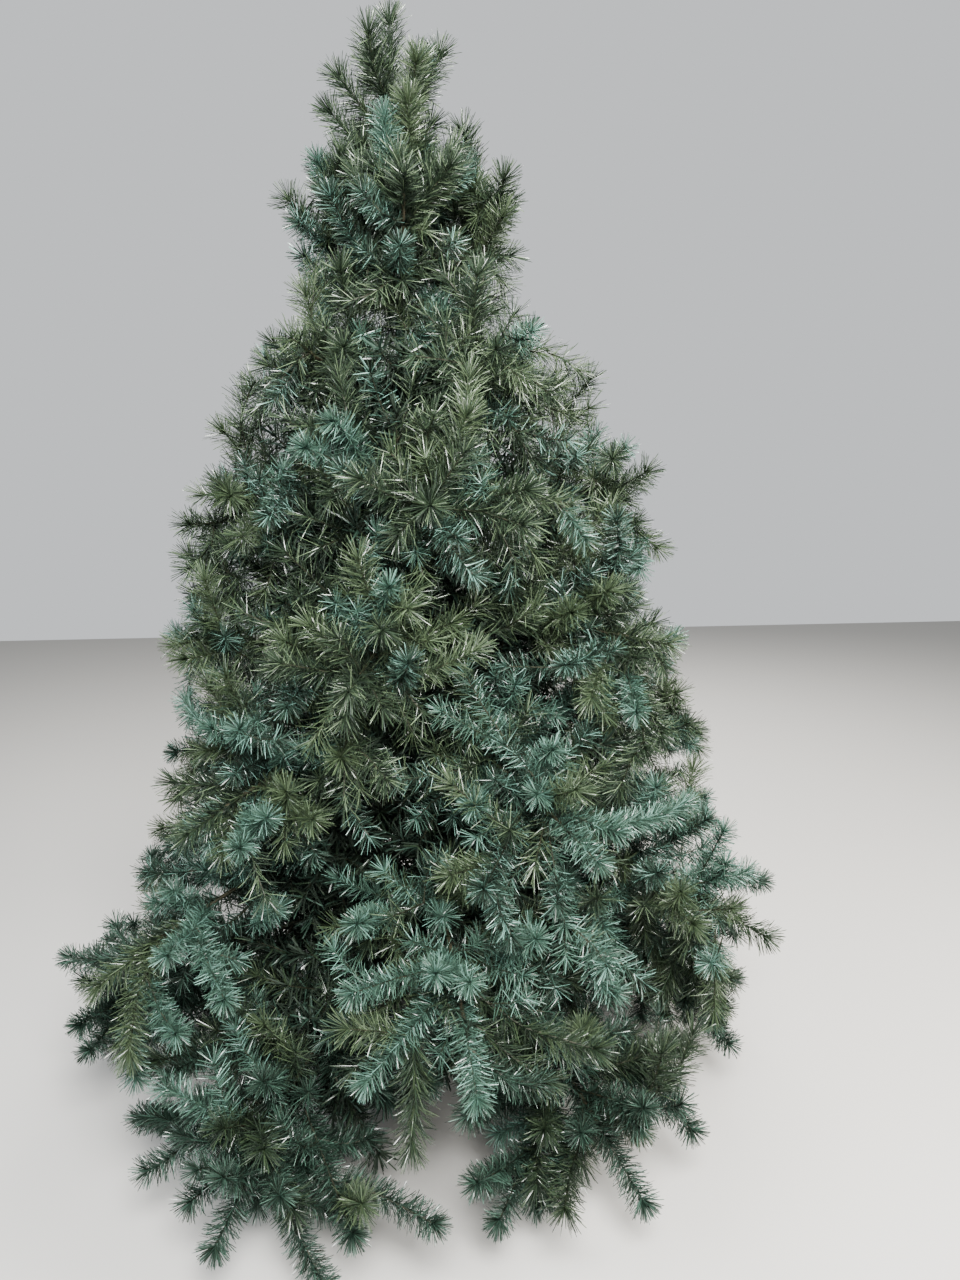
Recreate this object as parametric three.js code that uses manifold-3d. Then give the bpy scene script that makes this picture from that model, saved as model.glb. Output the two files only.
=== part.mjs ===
// An artificial Christmas tree on a folding steel stand: a sectioned pole with hinge collars,
// wire boughs in tiers, and masses of needle sprays that fill a tall cone with drooping lowest tips.
// Millimetres, +Z up, the front towards -Y. The origin is on the floor, under the pole.

import * as THREE from 'three';
import { mergeVertices } from 'three/addons/utils/BufferGeometryUtils.js';
import Module from 'manifold-3d';

const wasm = await Module();
wasm.setup();

// Driving dimensions of the whole tree
const TREE_HEIGHT = 2100;
const FIT = 0.3; // gap between two pieces that touch

// The crown's outline: height, radius on the left, radius on the right
const CROWN = [
  [0, 660, 680],
  [120, 785, 752],
  [300, 765, 760],
  [420, 690, 762],
  [560, 600, 745],
  [710, 530, 640],
  [930, 500, 580],
  [1090, 510, 520],
  [1210, 440, 520],
  [1330, 410, 490],
  [1450, 345, 430],
  [1560, 290, 300],
  [1680, 235, 250],
  [1850, 210, 235],
  [1960, 140, 180],
  [2060, 90, 120],
  [TREE_HEIGHT, 50, 50],
];

// Tiers of boughs, from the floor up: the collar's height, the number of boughs, the height of
// their tips, how far they arch above a straight line, the first bough's bearing in degrees,
// and the size of their sprays
const TIERS = [
  { collar: 360, boughs: 6, tip: 95, arch: 110, bearing: 4, size: 1 },
  { collar: 570, boughs: 6, tip: 385, arch: 80, bearing: 38, size: 1 },
  { collar: 780, boughs: 5, tip: 665, arch: 50, bearing: 12, size: 0.94 },
  { collar: 990, boughs: 5, tip: 950, arch: 20, bearing: 48, size: 0.9 },
  { collar: 1190, boughs: 4, tip: 1240, arch: 0, bearing: 10, size: 0.86 },
  { collar: 1380, boughs: 4, tip: 1525, arch: -10, bearing: 52, size: 0.8 },
  { collar: 1560, boughs: 4, tip: 1795, arch: -20, bearing: 8, size: 0.72 },
];
const TIERS_WITH_BOUGHS = 2; // higher up the needles start at the pole
const BEARING_PLAY = 0.1; // of the turn from one bough to the next
const REACH_PLAY = 0.02; // of the crown's radius

// The pole: three sections, each narrower than the one below, and a leader rod
const POLE = [
  { top: 700, radius: 16 },
  { top: 1300, radius: 13.5 },
  { top: 1700, radius: 10 },
];
const POLE_TIP = 1730;
const POLE_STEP = 6; // height of the swage between two sections
const LEADER_RADIUS = 5;
const COLLAR_RADIUS = 24;
const COLLAR_HEIGHT = 26;
const COLLAR_EDGE = 4;
const POLE_SIDES = 8;

// Boughs and the stems that carry on from them
const BOUGH_RADIUS = 6.5;
const BOUGH_SIDES = 5;
const BOUGH_MIDDLE = 0.52; // of its reach, where it arches most
const STEM_RADIUS = 5;
const STEM_TIP_RADIUS = 3;
const STEM_SIDES = 4;
const STEM_END = 0.8;
const LAST_SPRAY = 0.75;
const BARE_BOUGH = 0.2; // share of a lower bough before its first needles
const BARE_STEM = 0.08; // the same where the needles start at the pole

// Twigs, dealt out along a stem from its tip back
const TWIGS_TRIED = 30;
const LAST_TWIG = 0.84;
const TWIG_MARGIN = 0.06;
const TWIG_TURN = 46; // degrees from the stem to a twig
const TURN_PLAY = 22;
const ROLLS = [0, 180, 80, -5, 185, -80, 100, 180, 0]; // round the stem, from its side
const ROLL_PLAY = 50;
const LONGEST_TWIG = 290;
const LENGTH_PLAY = 0.3;
const SHORTEST_TWIG = 115;
const SHORTER = 0.9; // each time that a twig doesn't fit
const TWIG_LIFT = 0.08; // of its length, at the tip of an upper twig
const LOWEST_TIP = 44;
const HEADROOM = 190; // above and below a stem
const OVERHANG = 30; // past the edge of a mass's own sector
const SPACING = 76; // between two sprays
const PROBES = [0.35, 0.65, 0.95]; // shares of a twig where its spacing counts

// The leader's twigs, which sweep up round the rod
const LEADER_TWIGS = 34;
const LEADER_SIZE = 0.66;
const LEADER_LIFT = 0.34;
const LEADER_RISE = [50, 20]; // degrees above level, at the top and at the foot
const LEADER_SHARES = [0.55, 0.04];
const LEADER_LENGTHS = [150, 235];
const LEADER_BEARING = 120;
const GOLDEN_TURN = 137.5;

// A spray, as shares of its twig's length, and its size where the tier's size is 1
const SPRAY_WIDTH = 60; // from the twig to the furthest side needles
const SPRAY_RISE = 50;
const SPRAY_CORE = 0.2; // of the spray's width
const SPRAY_LENGTH = 220; // a shorter spray is slimmer as well
const SLIMMEST = 0.75;
const FIRST_TEETH = 0.4;
const LAST_TEETH = 0.82;
const TOOTH_LEAN = 0.1;

// The stand
const HUB_RADIUS = 21;
const HUB_BOTTOM = 62;
const HUB_TOP = 205;
const HUB_FLOOR = 6;
const BORE_RADIUS = 17.5;
const LEGS = 4;
const LEG_RADIUS = 8;
const LEG_OFFSET = 28.5; // from the pole's axis to the upright part
const LEG_TOP = 190;
const LEG_BEND = 104;
const BEND_SIZE = 24;
const LEG_REACH = 285;
const LEG_STEPS = 14;
const FOOT_HEIGHT = 32;
const FOOT_RADIUS = 15;
const FOOT_TOP_RADIUS = 12;
const SCREWS = 2;
const SCREW_HEIGHT = 176;
const SCREW_RADIUS = 3;
const SCREW_REACH = 41;
const KNOB_RADIUS = 11;
const KNOB_THICKNESS = 6;

const UP = new THREE.Vector3(0, 0, 1);
const radians = THREE.MathUtils.degToRad;
const lerp = THREE.MathUtils.lerp;

// Finishes
const finish = (color, roughness, metalness = 0) =>
  new THREE.MeshStandardMaterial({ color, roughness, metalness });
const greenPaint = finish(0x1f3a2a, 0.5, 0.3);
const wireCover = finish(0x3a3a24, 0.7);
const needleGreen = finish(0x2c4a3c, 0.55);
const blackRubber = finish(0x141414, 0.85);
const plainSteel = finish(0xb8b8b8, 0.35, 0.9);

const tree = new THREE.Group();

// Seeded numbers from 0 to 1: each one is the last times 48271, modulo a prime
function seeded(seed) {
  const prime = 2147483647;
  let state = (seed * 7919 + 104729) % prime;
  return () => {
    state = (state * 48271) % prime;
    return state / prime;
  };
}

// A number either side of zero, at most half of play away
const around = (draw, play) => (draw() - 0.5) * play;

// A point at a distance from the pole's axis, on a bearing, at a height
const polar = (distance, bearing, height) =>
  new THREE.Vector3(distance * Math.cos(bearing), distance * Math.sin(bearing), height);

// Closed meshes as solids, and solids as meshes

function solidOf(geometry) {
  const bare = geometry.clone();
  bare.deleteAttribute('normal');
  bare.deleteAttribute('uv');
  const merged = mergeVertices(bare, 1e-3);
  return new wasm.Manifold(
    new wasm.Mesh({
      numProp: 3,
      vertProperties: merged.attributes.position.array,
      triVerts: new Uint32Array(merged.index.array),
    }),
  );
}

// The largest body of a solid, so that no scrap is left beside it
function largestBody(solid) {
  const bodies = solid.decompose();
  return bodies.reduce((best, body) => (body.volume() > best.volume() ? body : best));
}

function geometryOf(solid) {
  const { vertProperties, triVerts } = solid.getMesh();
  const geometry = new THREE.BufferGeometry();
  geometry.setAttribute('position', new THREE.BufferAttribute(vertProperties, 3));
  geometry.setIndex(new THREE.BufferAttribute(triVerts, 1));
  return geometry;
}

function place(name, geometry, material) {
  const mesh = new THREE.Mesh(geometry, material);
  mesh.name = name;
  tree.add(mesh);
}

// Shapes

// A lathe round the vertical axis, from pairs of radius and height
function turned(profile, sides) {
  const points = profile.map(([radius, height]) => new THREE.Vector2(radius, height));
  return new THREE.LatheGeometry(points, sides).rotateX(Math.PI / 2);
}

// Carries a straight piece, which runs from 0 to 1 up its Y axis, onto a stretch of a curve
function bendAlong(geometry, curve, from = 0, to = 1) {
  const position = geometry.attributes.position;
  const along = new THREE.Vector3();
  const side = new THREE.Vector3();
  const lift = new THREE.Vector3();
  for (let i = 0; i < position.count; i++) {
    const share = THREE.MathUtils.clamp(lerp(from, to, position.getY(i)), 0, 1);
    curve.getTangent(share, along);
    const upright = Math.abs(along.z) > 0.95;
    side.crossVectors(along, upright ? new THREE.Vector3(1, 0, 0) : UP).normalize();
    lift.crossVectors(side, along);
    const point = curve.getPoint(share);
    point.addScaledVector(side, position.getX(i)).addScaledVector(lift, position.getZ(i));
    position.setXYZ(i, point.x, point.y, point.z);
  }
  return geometry;
}

// A tapering limb of a few sides along a stretch of a curve
function limb(curve, from, to, startRadius, endRadius, sides, steps) {
  const profile = [new THREE.Vector2(0, 0)];
  for (let k = 0; k <= steps; k++) {
    profile.push(new THREE.Vector2(lerp(startRadius, endRadius, k / steps), k / steps));
  }
  profile.push(new THREE.Vector2(0, 1));
  return bendAlong(new THREE.LatheGeometry(profile, sides), curve, from, to);
}

// A spray: rings of three teeth on a slim core, which lean towards the tip and stand for its
// needles. A small ring behind each further ring of teeth is turned by a sixth, between them.
function spray(curve, from, to, size, rings) {
  const profile = Array.from({ length: 2 * rings + 1 }, () => new THREE.Vector2(1, 0));
  profile[0].set(0, 0);
  profile[2 * rings].set(0, 1);
  const geometry = new THREE.LatheGeometry(profile, 3);
  const position = geometry.attributes.position;
  for (let i = 0; i <= 3; i++) {
    for (let j = 1; j < 2 * rings; j++) {
      const tooth = j % 2 === 1;
      const angle = ((2 * i + j - 1) * Math.PI) / 3;
      const reach = size * (tooth ? 1 : SPRAY_CORE);
      position.setXYZ(
        i * profile.length + j,
        SPRAY_WIDTH * reach * Math.sin(angle),
        lerp(FIRST_TEETH, LAST_TEETH, (j - 1) / (2 * rings - 2)) - (tooth ? 0 : TOOTH_LEAN),
        SPRAY_RISE * reach * Math.cos(angle),
      );
    }
  }
  return bendAlong(geometry, curve, from, to);
}

// How the boughs and twigs grow

function crownRadius(height, bearing) {
  const row = CROWN.findIndex(([rowHeight]) => rowHeight > height);
  if (row < 1) return 0;
  const [low, high] = [CROWN[row - 1], CROWN[row]];
  const share = (height - low[0]) / (high[0] - low[0]);
  const [left, right] = [1, 2].map((side) => lerp(low[side], high[side], share));
  return lerp(left, right, (1 + Math.cos(bearing)) / 2);
}

// The line of a bough, from inside its collar to the tip of its last spray
function boughLine(tier, bearing, reach) {
  const root = polar(LEADER_RADIUS * 2, bearing, tier.collar);
  const middle = polar(reach * BOUGH_MIDDLE, bearing, (tier.collar + tier.tip) / 2 + tier.arch);
  return new THREE.QuadraticBezierCurve3(root, middle, polar(reach, bearing, tier.tip));
}

// The branches of a tier, each with its line and the space that its mass keeps to
function branchesOf(tier, row) {
  const draw = seeded(row + 1);
  const turn = 360 / tier.boughs;
  const low = row < TIERS_WITH_BOUGHS;
  return Array.from({ length: tier.boughs }, (_, i) => {
    const bearing = radians(tier.bearing + i * turn + around(draw, turn * BEARING_PLAY));
    const reach = crownRadius(tier.tip, bearing) * (1 - REACH_PLAY * draw());
    return {
      name: `tier${row + 1}_${i + 1}`,
      seed: 100 * (row + 1) + i,
      line: boughLine(tier, bearing, reach),
      bearing,
      reach,
      sector: radians(turn) / 2,
      size: tier.size,
      lift: low ? 0 : TWIG_LIFT,
      bare: low ? BARE_BOUGH : BARE_STEM,
      hasBough: low,
    };
  });
}

// Whether a point lies in the space that a branch's mass keeps to
function inSpace(branch, point) {
  const bearing = Math.atan2(point.y, point.x);
  const distance = Math.hypot(point.x, point.y);
  if (distance > crownRadius(point.z, bearing) || point.z < LOWEST_TIP) return false;
  if (branch.isLeader) return true;
  const turn = bearing - branch.bearing;
  const aside = Math.abs(Math.atan2(Math.sin(turn), Math.cos(turn))) - branch.sector;
  const stem = branch.line.getPoint(Math.min(1, distance / branch.reach));
  return distance * Math.sin(aside) < OVERHANG && Math.abs(point.z - stem.z) < HEADROOM;
}

// Whether a twig's line keeps clear of all that grew before it
function isClear(branch, line, grown) {
  return PROBES.every((share) => {
    const probe = line.getPoint(share);
    return grown.every((point) => point.distanceTo(probe) > SPACING * branch.size);
  });
}

// A twig that leaves its stem to a side: where, in what direction, and its length at most
function sideTwig(branch, k, draw) {
  const share = lerp(LAST_TWIG, branch.bare + TWIG_MARGIN, k / TWIGS_TRIED);
  const turn = radians(TWIG_TURN + around(draw, TURN_PLAY));
  const roll = radians(ROLLS[k % ROLLS.length] + around(draw, ROLL_PLAY));
  const longest = LONGEST_TWIG * branch.size * (1 + around(draw, LENGTH_PLAY));
  const along = branch.line.getTangent(share);
  const side = new THREE.Vector3().crossVectors(along, UP).normalize();
  const lift = new THREE.Vector3().crossVectors(side, along);
  const across = side.multiplyScalar(Math.cos(roll)).addScaledVector(lift, Math.sin(roll));
  const direction = along.multiplyScalar(Math.cos(turn)).addScaledVector(across, Math.sin(turn));
  return { share, direction, longest };
}

// A twig of the leader, round the rod and upwards
function leaderTwig(k, draw) {
  const bearing = radians(LEADER_BEARING + k * GOLDEN_TURN + around(draw, TURN_PLAY));
  const rise = radians(lerp(...LEADER_RISE, k / LEADER_TWIGS) + around(draw, TURN_PLAY / 2));
  return {
    share: lerp(...LEADER_SHARES, k / LEADER_TWIGS),
    direction: polar(Math.cos(rise), bearing, Math.sin(rise)),
    longest: lerp(...LEADER_LENGTHS, k / LEADER_TWIGS),
  };
}

// The lines of a branch's twigs. Each is shortened until it fits, or is left out.
function twigsOf(branch, grown) {
  const draw = seeded(branch.seed);
  const lines = [];
  const tried = branch.isLeader ? LEADER_TWIGS : TWIGS_TRIED;
  PROBES.forEach((probe) => grown.push(branch.line.getPoint(lerp(STEM_END, 1, probe))));
  for (let k = 0; k < tried; k++) {
    const twig = branch.isLeader ? leaderTwig(k, draw) : sideTwig(branch, k, draw);
    const root = branch.line.getPoint(twig.share);
    for (let length = twig.longest; length > SHORTEST_TWIG * branch.size; length *= SHORTER) {
      const middle = root.clone().addScaledVector(twig.direction, length / 2);
      const tip = root.clone().addScaledVector(twig.direction, length);
      tip.addScaledVector(UP, length * branch.lift);
      const line = new THREE.QuadraticBezierCurve3(root, middle, tip);
      if (inSpace(branch, tip) && isClear(branch, line, grown)) {
        lines.push(line);
        PROBES.forEach((probe) => grown.push(line.getPoint(probe)));
        break;
      }
    }
  }
  return lines;
}

// The pole, with a swaged step at each joint and a collar under each tier. Grown by a gap, it
// is cut from all that is fixed to it.
function poleShape(gap = 0) {
  const foot = HUB_BOTTOM + HUB_FLOOR + FIT;
  const outline = [[0, foot - gap]];
  let bottom = foot - gap;
  for (const { top, radius } of POLE) {
    outline.push([radius + gap, bottom]);
    for (const { collar } of TIERS.filter((tier) => tier.collar > bottom && tier.collar < top)) {
      const half = COLLAR_HEIGHT / 2 + gap;
      outline.push([radius + gap, collar - half - COLLAR_EDGE]);
      outline.push([COLLAR_RADIUS + gap, collar - half]);
      outline.push([COLLAR_RADIUS + gap, collar + half]);
      outline.push([radius + gap, collar + half + COLLAR_EDGE]);
    }
    outline.push([radius + gap, top]);
    bottom = top + POLE_STEP;
  }
  outline.push([LEADER_RADIUS + gap, bottom], [LEADER_RADIUS + gap, POLE_TIP + gap]);
  outline.push([0, POLE_TIP + gap]);
  return turned(outline, POLE_SIDES);
}

// A branch's bare bough, cut off at its collar
function makeBough(branch, clearance) {
  const end = branch.bare - FIT / branch.line.getLength();
  const shape = limb(branch.line, 0, end, BOUGH_RADIUS, STEM_RADIUS, BOUGH_SIDES, 2);
  const bough = largestBody(solidOf(shape).subtract(clearance));
  place(`bough_${branch.name}`, geometryOf(bough), wireCover);
}

// The mass of needles on a branch: its stem, the spray at its end and its twigs' sprays. A
// spray that would touch the pole or an earlier mass is left out.
function makeMass(branch, clearance, grown, made) {
  const { line, size } = branch;
  const start = branch.hasBough ? branch.bare : 0;
  const stem = limb(line, start, STEM_END, STEM_RADIUS, STEM_TIP_RADIUS, STEM_SIDES, 3);
  const last = spray(line, LAST_SPRAY, 1, size, 3);
  const sprays = twigsOf(branch, grown).map((twig) => {
    const slim = THREE.MathUtils.clamp(twig.getLength() / SPRAY_LENGTH, SLIMMEST, 1);
    return solidOf(spray(twig, 0, 1, size * slim, 2));
  });
  const clear = sprays.filter((shape) => made.every((other) => shape.minGap(other, 1) > FIT));
  const whole = wasm.Manifold.union([solidOf(stem), solidOf(last), ...clear]);
  const mass = largestBody(whole.subtract(clearance));
  made.push(mass);
  place(`foliage_${branch.name}`, geometryOf(mass), needleGreen);
}

// The top mass: a spire on the leader rod, with twigs that sweep up round it
function makeTop(grown, made) {
  const foot = polar(0, 0, POLE_TIP + FIT);
  const tip = polar(0, 0, TREE_HEIGHT);
  const line = new THREE.QuadraticBezierCurve3(foot, foot.clone().lerp(tip, 0.5), tip);
  const leader = { seed: 900, line, size: LEADER_SIZE, lift: LEADER_LIFT, isLeader: true };
  const stem = limb(line, 0, STEM_END, STEM_RADIUS, STEM_TIP_RADIUS, STEM_SIDES, 2);
  const spire = spray(line, LEADER_SHARES[0] - TWIG_MARGIN, 1, LEADER_SIZE, 3);
  const sprays = twigsOf(leader, grown).map((twig) => solidOf(spray(twig, 0, 1, LEADER_SIZE, 2)));
  const clear = sprays.filter((shape) => made.every((other) => shape.minGap(other, 1) > FIT));
  const mass = wasm.Manifold.union([solidOf(stem), solidOf(spire), ...clear]);
  place('foliage_top', geometryOf(largestBody(mass)), needleGreen);
}

// The stand: a cup for the pole, thumb screws, bent legs and their feet

// A thumb screw that runs through the hub's wall to the pole
function screwShape(index, gap = 0) {
  const tip = POLE[0].radius + FIT - gap;
  const profile = [
    [0, tip],
    [SCREW_RADIUS + gap, tip],
    [SCREW_RADIUS + gap, SCREW_REACH],
    [KNOB_RADIUS, SCREW_REACH],
    [KNOB_RADIUS, SCREW_REACH + KNOB_THICKNESS],
    [0, SCREW_REACH + KNOB_THICKNESS],
  ];
  const shape = turned(profile, POLE_SIDES).rotateY(Math.PI / 2);
  return shape.rotateZ((index * Math.PI) / 2).translate(0, 0, SCREW_HEIGHT);
}

function makeHub() {
  const cup = [
    [0, HUB_BOTTOM],
    [HUB_RADIUS, HUB_BOTTOM],
    [HUB_RADIUS, HUB_TOP],
    [BORE_RADIUS, HUB_TOP],
    [BORE_RADIUS, HUB_BOTTOM + HUB_FLOOR],
    [0, HUB_BOTTOM + HUB_FLOOR],
  ];
  let hub = solidOf(turned(cup, POLE_SIDES));
  for (let i = 0; i < SCREWS; i++) {
    place(`thumb_screw_${i + 1}`, screwShape(i), plainSteel);
    hub = hub.subtract(solidOf(screwShape(i, FIT)));
  }
  place('stand_hub', geometryOf(hub), greenPaint);
}

// A leg's middle line: down beside the hub, round a bend, and out to the middle of its foot
function legLine(bearing, gap = 0) {
  const bend = [
    polar(LEG_OFFSET, bearing, LEG_BEND + BEND_SIZE),
    polar(LEG_OFFSET, bearing, LEG_BEND),
    polar(LEG_OFFSET + BEND_SIZE, bearing, LEG_BEND - BEND_SIZE / 3),
  ];
  const path = new THREE.CurvePath();
  path.add(new THREE.LineCurve3(polar(LEG_OFFSET, bearing, LEG_TOP), bend[0]));
  path.add(new THREE.QuadraticBezierCurve3(...bend));
  path.add(new THREE.LineCurve3(bend[2], polar(LEG_REACH + gap, bearing, FOOT_HEIGHT / 2)));
  return path;
}

function tubeAlong(path, radius) {
  const outline = new THREE.Shape().absarc(0, 0, radius, 0, 2 * Math.PI, false);
  const options = { extrudePath: path, steps: LEG_STEPS, curveSegments: 3 };
  return new THREE.ExtrudeGeometry(outline, options);
}

// A leg and the rubber foot that its end sits in
function makeLeg(index) {
  const bearing = radians(45 + (360 / LEGS) * index);
  place(`stand_leg_${index + 1}`, tubeAlong(legLine(bearing), LEG_RADIUS), greenPaint);
  const profile = [
    [0, 0],
    [FOOT_RADIUS, 0],
    [FOOT_TOP_RADIUS, FOOT_HEIGHT],
    [0, FOOT_HEIGHT],
  ];
  const middle = polar(LEG_REACH, bearing, 0);
  const boot = turned(profile, POLE_SIDES).translate(middle.x, middle.y, 0);
  const socket = solidOf(tubeAlong(legLine(bearing, FIT), LEG_RADIUS + FIT));
  const foot = largestBody(solidOf(boot).subtract(socket));
  place(`stand_foot_${index + 1}`, geometryOf(foot), blackRubber);
}

for (let i = 0; i < LEGS; i++) makeLeg(i);
makeHub();
place('trunk', poleShape(), greenPaint);

const clearance = solidOf(poleShape(FIT));
const grown = [];
const made = [clearance];
TIERS.forEach((tier, row) => {
  for (const branch of branchesOf(tier, row)) {
    if (branch.hasBough) makeBough(branch, clearance);
    makeMass(branch, clearance, grown, made);
  }
});
makeTop(grown, made);

export default tree;
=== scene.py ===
# %% [markdown]
# # An artificial Christmas tree
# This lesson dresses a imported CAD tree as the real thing: a steel pole on a plain stand,
# hinged boughs of wrapped wire, and nearly three thousand tips like bottle brushes, whose
# needles are cut from thin plastic film. The CAD model is loaded as a fixed frame in metres,
# with +Z up and the front towards -Y. Everything below grows round it and never moves it.

# %% The frame
import math

import bpy
import numpy as np
from mathutils import Matrix, Vector


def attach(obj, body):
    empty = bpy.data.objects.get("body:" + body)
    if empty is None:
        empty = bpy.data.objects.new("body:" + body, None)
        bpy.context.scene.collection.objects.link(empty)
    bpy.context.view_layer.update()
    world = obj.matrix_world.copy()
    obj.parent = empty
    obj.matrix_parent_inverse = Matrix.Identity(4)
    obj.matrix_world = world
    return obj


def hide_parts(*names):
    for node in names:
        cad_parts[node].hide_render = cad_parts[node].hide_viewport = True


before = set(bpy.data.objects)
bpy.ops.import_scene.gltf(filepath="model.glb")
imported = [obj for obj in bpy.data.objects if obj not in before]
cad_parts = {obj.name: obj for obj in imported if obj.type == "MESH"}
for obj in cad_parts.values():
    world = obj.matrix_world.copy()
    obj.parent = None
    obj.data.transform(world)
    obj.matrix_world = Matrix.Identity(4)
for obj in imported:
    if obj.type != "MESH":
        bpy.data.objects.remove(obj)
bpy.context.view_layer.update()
TREE_HEIGHT = 2.1
scene = bpy.context.scene


def add_object(name, data):
    """A new object for a mesh, a lamp or a camera, linked to the scene."""
    added = bpy.data.objects.new(name, data)
    scene.collection.objects.link(added)
    return added


# %% [markdown]
# ## The camera
# The photograph was taken by hand, from chest height and about two metres away, looking down a
# little. Its place comes from the picture's upright lines and from how far apart things are
# that stand on the floor. Building the three axes by hand, and not by angles, keeps the small roll
# of the hand-held camera plain to read.

# %% Camera
PHOTO_HEIGHT = 1280
FOCAL_PIXELS = 962
LONG_SIDE = 36.0  # millimetres of sensor along the picture's long side
EYE = Vector((0.14, -1.93, 1.35))
LOOK_DOWN = math.radians(12.4)
ROLL = math.radians(-1.2)

ahead = Vector((0.0, math.cos(LOOK_DOWN), -math.sin(LOOK_DOWN)))
level = Vector((1.0, 0.0, 0.0))
above = level.cross(ahead)
right = level * math.cos(ROLL) + above * math.sin(ROLL)
upward = above * math.cos(ROLL) - level * math.sin(ROLL)

camera = add_object("camera", bpy.data.cameras.new("camera"))
camera.data.sensor_width = LONG_SIDE
camera.data.lens = LONG_SIDE * FOCAL_PIXELS / PHOTO_HEIGHT
turned_to_tree = Matrix((right, upward, -ahead)).transposed().to_4x4()
camera.matrix_world = Matrix.Translation(EYE) @ turned_to_tree
scene.camera = camera
print("lens", round(camera.data.lens, 2), "mm")

# %% [markdown]
# ## Floor and light
# A plain pale floor catches the shadow, and soft boxes stand for a bright room: a strong one in
# front that lights the nearest tips, a tall and warm one at the right, a cooler one at the left,
# and a weak one behind for the rim of the crown. Large lamps give the soft shadows that show
# the depth between the tips. The sky is weak as a light, so that the needles can shade each
# other, and the camera alone sees it as a bright wall.

# %% Floor and lamps
FLOOR_SIDE = 9.0
FLOOR_DROP = 0.0005  # keeps the sheet clear of the undersides of the feet
FLOOR_COLOR = (0.50, 0.49, 0.47)
FLOOR_ROUGHNESS = 0.7
SKY_COLOR = (0.80, 0.82, 0.84, 1)
LIT_POINT = Vector((0.0, 0.0, TREE_HEIGHT * 0.45))
LAMPS = [
    # name, place, width, height, watts, color
    ("front", (0.5, -2.5, 2.8), 1.4, 1.4, 295, (1.0, 0.99, 0.97)),
    ("right", (2.8, -0.8, 2.0), 1.2, 2.0, 135, (1.0, 0.97, 0.92)),
    ("left", (-2.7, -1.6, 2.2), 2.0, 2.0, 90, (0.90, 0.95, 1.0)),
    ("rim", (0.6, 2.8, 2.8), 2.0, 2.0, 100, (1.0, 0.98, 0.95)),
]


def plain_material(name, color, roughness, specular=0.5):
    """A Principled surface with plain values."""
    material = bpy.data.materials.new(name)
    material.use_nodes = True
    inputs = material.node_tree.nodes["Principled BSDF"].inputs
    inputs["Base Color"].default_value = (*color, 1)
    inputs["Roughness"].default_value = roughness
    inputs["Specular IOR Level"].default_value = specular
    return material


def make_floor():
    """A wide pale sheet, just under the feet."""
    side = FLOOR_SIDE / 2
    mesh = bpy.data.meshes.new("floor")
    corners = [(-side, -side, 0), (side, -side, 0), (side, side, 0), (-side, side, 0)]
    mesh.from_pydata(corners, [], [(0, 1, 2, 3)])
    floor = add_object("floor", mesh)
    floor.location.z = -FLOOR_DROP
    mesh.materials.append(plain_material("pale_floor", FLOOR_COLOR, FLOOR_ROUGHNESS))


def soft_box(name, place, width, height, watts, color):
    """An area lamp that faces a point a little below the tree's middle."""
    lamp = add_object(name, bpy.data.lights.new(name, "AREA"))
    lamp.data.shape = "RECTANGLE"
    lamp.data.size = width
    lamp.data.size_y = height
    lamp.data.energy = watts
    lamp.data.color = color
    lamp.location = place
    lamp.rotation_euler = (LIT_POINT - Vector(place)).to_track_quat("-Z", "Y").to_euler()


def make_sky(as_light, as_wall):
    """A pale sky that is weaker as a light than it looks to the camera."""
    world = bpy.data.worlds.new("studio")
    world.use_nodes = True
    nodes, links = world.node_tree.nodes, world.node_tree.links
    dim = nodes["Background"]
    wall = nodes.new("ShaderNodeBackground")
    for shader, strength in ((dim, as_light), (wall, as_wall)):
        shader.inputs["Color"].default_value = SKY_COLOR
        shader.inputs["Strength"].default_value = strength
    mix = nodes.new("ShaderNodeMixShader")
    links.new(nodes.new("ShaderNodeLightPath").outputs["Is Camera Ray"], mix.inputs["Fac"])
    links.new(dim.outputs[0], mix.inputs[1])
    links.new(wall.outputs[0], mix.inputs[2])
    links.new(mix.outputs[0], nodes["World Output"].inputs["Surface"])
    scene.world = world


make_floor()
for lamp_row in LAMPS:
    soft_box(*lamp_row)
make_sky(as_light=0.42, as_wall=0.75)
scene.view_settings.look = "AgX - Medium High Contrast"

# %% [markdown]
# ## Turning arrays into meshes
# Nearly half a million needles can't be made one by one with operators. NumPy works out the
# corners in bulk, and foreach_set hands a whole array to Blender in a single step. A piece
# then rides on the CAD body and stands for the CAD nodes that it replaces.

# %% From arrays to pieces
BODY = "root"


def make_piece(name, points, faces, material, slot, nodes):
    """A smooth mesh from arrays of points and of triangles."""
    mesh = bpy.data.meshes.new(name)
    mesh.vertices.add(len(points))
    mesh.vertices.foreach_set("co", points.astype(np.float32).ravel())
    mesh.loops.add(faces.size)
    mesh.loops.foreach_set("vertex_index", faces.astype(np.int32).ravel())
    mesh.polygons.add(len(faces))
    mesh.polygons.foreach_set("loop_start", np.arange(len(faces), dtype=np.int32) * 3)
    mesh.polygons.foreach_set("use_smooth", np.ones(len(faces), bool))
    mesh.update(calc_edges=True)
    mesh.materials.append(material)
    piece = add_object(name, mesh)
    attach(piece, BODY)
    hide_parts(*nodes)
    return piece


def nodes_named(*starts):
    """The CAD nodes whose names start with one of these words."""
    return [name for name in sorted(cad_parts) if name.startswith(starts)]


print("masses:", len(nodes_named("foliage")), "boughs:", len(nodes_named("bough")))

# %% [markdown]
# ## The crown's outline
# The source of the CAD model holds the crown as a few radii at a few heights, for the left and
# the right side. The same numbers stand here, in metres, so that every twig below ends where
# the solid twig does. Between the rows, and round from one side to the other, the radius is
# blended.

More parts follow.
